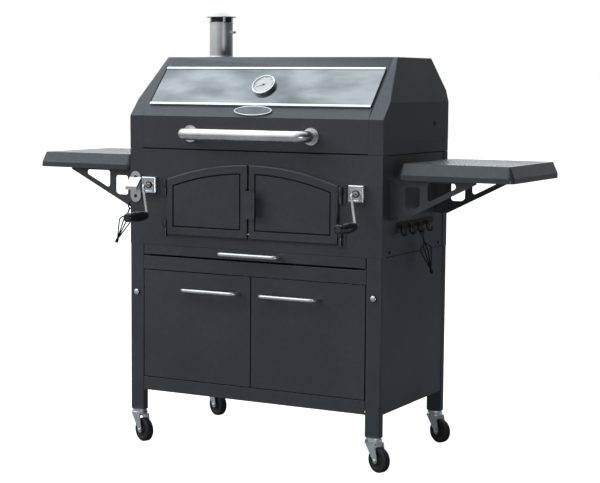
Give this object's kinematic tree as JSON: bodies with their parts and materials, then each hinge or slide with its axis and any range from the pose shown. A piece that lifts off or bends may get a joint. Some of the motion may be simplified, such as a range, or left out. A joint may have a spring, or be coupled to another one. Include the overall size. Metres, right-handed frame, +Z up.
{
  "type": "charcoal grill cart",
  "caption": "Charcoal grill and smoker on a wheeled cabinet, with a hinged hood and chimney, crank-lifted trays, stoking doors, ash drawer and side shelves.",
  "frame": {"origin": "on the ground, under the middle of the resting outline", "axes": "+X to the right along the cart's length, +Y to the back, +Z up"},
  "size_m": [1.648, 0.6524, 1.37],
  "materials": {
    "body_paint": "satin charcoal powder coat",
    "hinge_steel": "dark plated steel",
    "brushed_steel": "brushed",
    "chrome": "polished",
    "zinc": "bright zinc plate",
    "wheel_black": "matt black",
    "grip_black": "glossy black",
    "tool_steel": "plated wire",
    "grate_iron": "matt enamel",
    "window_glass": "tempered, mirror tinted"
  },
  "bodies": {
    "frame": {"legs": "body_paint", "cabinet_rails": "body_paint", "cabinet_floor": "body_paint", "cabinet_side_left": "body_paint", "cabinet_side_right": "body_paint", "cabinet_back": "body_paint", "cabinet_hinges": "hinge_steel", "frame_bolts": "hinge_steel", "firebox_front": "body_paint", "firebox_back": "body_paint", "firebox_side_left": "body_paint", "firebox_side_right": "body_paint", "inner_guides": "body_paint", "cooking_grate_left": "grate_iron", "cooking_grate_right": "grate_iron", "warming_rack": "tool_steel", "crank_bezels": "chrome", "fire_door_hinges": "hinge_steel", "hood_hinge_brackets": "hinge_steel", "bottle_opener": "chrome", "side_shelf_left": "body_paint", "side_shelf_right": "body_paint", "shelf_brackets": "body_paint", "hook_rails": "body_paint", "caster_plates": "zinc"},
    "hood": {"hood_panel": "body_paint", "hood_side_left": "body_paint", "hood_side_right": "body_paint", "hood_window": "window_glass", "window_trim": "chrome", "thermometer": "chrome", "badge_plate": "chrome", "hood_handle": "brushed_steel", "chimney": "brushed_steel"},
    "damper": {"chimney_damper": "brushed_steel"},
    "stoking_door_left": {"fire_door_left": "body_paint"},
    "stoking_door_right": {"fire_door_right": "body_paint", "fire_door_handle": "brushed_steel"},
    "drawer": {"ash_drawer": "body_paint", "ash_drawer_handle": "brushed_steel"},
    "cabinet_leaf_left": {"cabinet_door_left": "body_paint", "cabinet_handle_left": "brushed_steel"},
    "cabinet_leaf_right": {"cabinet_door_right": "body_paint", "cabinet_handle_right": "brushed_steel"},
    "tray_left": {"charcoal_tray_left": "body_paint"},
    "lift_crank_left": {"crank_left": "chrome"},
    "grip_left": {"crank_grip_left": "grip_black"},
    "tray_right": {"charcoal_tray_right": "body_paint"},
    "lift_crank_right": {"crank_right": "chrome"},
    "grip_right": {"crank_grip_right": "grip_black"},
    "swivel_front_left": {"caster_fork_front_left": "zinc"},
    "wheel_front_left": {"caster_wheel_front_left": "wheel_black"},
    "swivel_front_right": {"caster_fork_front_right": "zinc"},
    "wheel_front_right": {"caster_wheel_front_right": "wheel_black"},
    "swivel_rear_left": {"caster_fork_rear_left": "zinc"},
    "wheel_rear_left": {"caster_wheel_rear_left": "wheel_black"},
    "swivel_rear_right": {"caster_fork_rear_right": "zinc"},
    "wheel_rear_right": {"caster_wheel_rear_right": "wheel_black"},
    "lifter_left": {"grate_lifter_left": "tool_steel"},
    "lifter_right": {"grate_lifter_right": "tool_steel"}
  },
  "joints": [
    {"name": "hood_hinge", "type": "hinge", "parent": "frame", "child": "hood", "pos_m": [0, 0.32025, 0.934], "axis": [-1, 0, 0], "range_deg": [0, 85]},
    {"name": "damper_turn", "type": "hinge", "parent": "hood", "child": "damper", "pos_m": [-0.281, 0.12225, 1.304], "axis": [1, 0, 0], "range_deg": [0, 90]},
    {"name": "stoking_hinge_left", "type": "hinge", "parent": "frame", "child": "stoking_door_left", "pos_m": [-0.306, -0.17375, 0.815], "axis": [0, 0, -1], "range_deg": [0, 90]},
    {"name": "stoking_hinge_right", "type": "hinge", "parent": "frame", "child": "stoking_door_right", "pos_m": [0.306, -0.17375, 0.815], "axis": [0, 0, 1], "range_deg": [0, 90]},
    {"name": "drawer_slide", "type": "slide", "parent": "frame", "child": "drawer", "axis": [0, -1, 0], "range_m": [0, 0.35]},
    {"name": "cabinet_hinge_left", "type": "hinge", "parent": "frame", "child": "cabinet_leaf_left", "pos_m": [-0.3805, -0.16175, 0.38], "axis": [0, 0, -1], "range_deg": [0, 100]},
    {"name": "cabinet_hinge_right", "type": "hinge", "parent": "frame", "child": "cabinet_leaf_right", "pos_m": [0.3805, -0.16175, 0.38], "axis": [0, 0, 1], "range_deg": [0, 100]},
    {"name": "tray_lift_left", "type": "slide", "parent": "frame", "child": "tray_left", "axis": [0, 0, 1], "range_m": [0, 0.08482]},
    {"name": "crank_turn_left", "type": "hinge", "parent": "frame", "child": "lift_crank_left", "pos_m": [-0.361, -0.21375, 0.822], "axis": [0, 1, 0], "range_deg": [0, 540]},
    {"name": "grip_spin_left", "type": "hinge", "parent": "lift_crank_left", "child": "grip_left", "pos_m": [-0.3463, -0.27425, 0.72916], "axis": [0, -1, 0], "continuous": true},
    {"name": "tray_lift_right", "type": "slide", "parent": "frame", "child": "tray_right", "axis": [0, 0, 1], "range_m": [0, 0.08482]},
    {"name": "crank_turn_right", "type": "hinge", "parent": "frame", "child": "lift_crank_right", "pos_m": [0.361, -0.21375, 0.822], "axis": [0, -1, 0], "range_deg": [0, 540]},
    {"name": "grip_spin_right", "type": "hinge", "parent": "lift_crank_right", "child": "grip_right", "pos_m": [0.37571, -0.27425, 0.72916], "axis": [0, -1, 0], "continuous": true},
    {"name": "caster_swivel_front_left", "type": "hinge", "parent": "frame", "child": "swivel_front_left", "pos_m": [-0.415, -0.15525, 0.097], "axis": [0, 0, 1], "continuous": true},
    {"name": "wheel_roll_front_left", "type": "hinge", "parent": "swivel_front_left", "child": "wheel_front_left", "pos_m": [-0.39177, -0.16449, 0.0375], "axis": [0.3697, 0.9291, 0], "continuous": true},
    {"name": "caster_swivel_front_right", "type": "hinge", "parent": "frame", "child": "swivel_front_right", "pos_m": [0.415, -0.15525, 0.097], "axis": [0, 0, 1], "continuous": true},
    {"name": "wheel_roll_front_right", "type": "hinge", "parent": "swivel_front_right", "child": "wheel_front_right", "pos_m": [0.43823, -0.16449, 0.0375], "axis": [0.3697, 0.9291, 0], "continuous": true},
    {"name": "caster_swivel_rear_left", "type": "hinge", "parent": "frame", "child": "swivel_rear_left", "pos_m": [-0.415, 0.29975, 0.097], "axis": [0, 0, 1], "continuous": true},
    {"name": "wheel_roll_rear_left", "type": "hinge", "parent": "swivel_rear_left", "child": "wheel_rear_left", "pos_m": [-0.39177, 0.29051, 0.0375], "axis": [0.3697, 0.9291, 0], "continuous": true},
    {"name": "caster_swivel_rear_right", "type": "hinge", "parent": "frame", "child": "swivel_rear_right", "pos_m": [0.415, 0.29975, 0.097], "axis": [0, 0, 1], "continuous": true},
    {"name": "wheel_roll_rear_right", "type": "hinge", "parent": "swivel_rear_right", "child": "wheel_rear_right", "pos_m": [0.43823, 0.29051, 0.0375], "axis": [0.3697, 0.9291, 0], "continuous": true},
    {"name": "lifter_swing_left", "type": "hinge", "parent": "frame", "child": "lifter_left", "pos_m": [-0.468, -0.12375, 0.751], "axis": [0, 1, 0], "range_deg": [-25, 35]},
    {"name": "lifter_swing_right", "type": "hinge", "parent": "frame", "child": "lifter_right", "pos_m": [0.456, 0.08115, 0.695], "axis": [0.9903, 0, 0.1392], "range_deg": [-35, 35]}
  ],
  "couplings": [
    {"joint": "crank_turn_left", "follows": "tray_lift_left", "rad_per_m": 111.11},
    {"joint": "crank_turn_right", "follows": "tray_lift_right", "rad_per_m": 111.11}
  ]
}
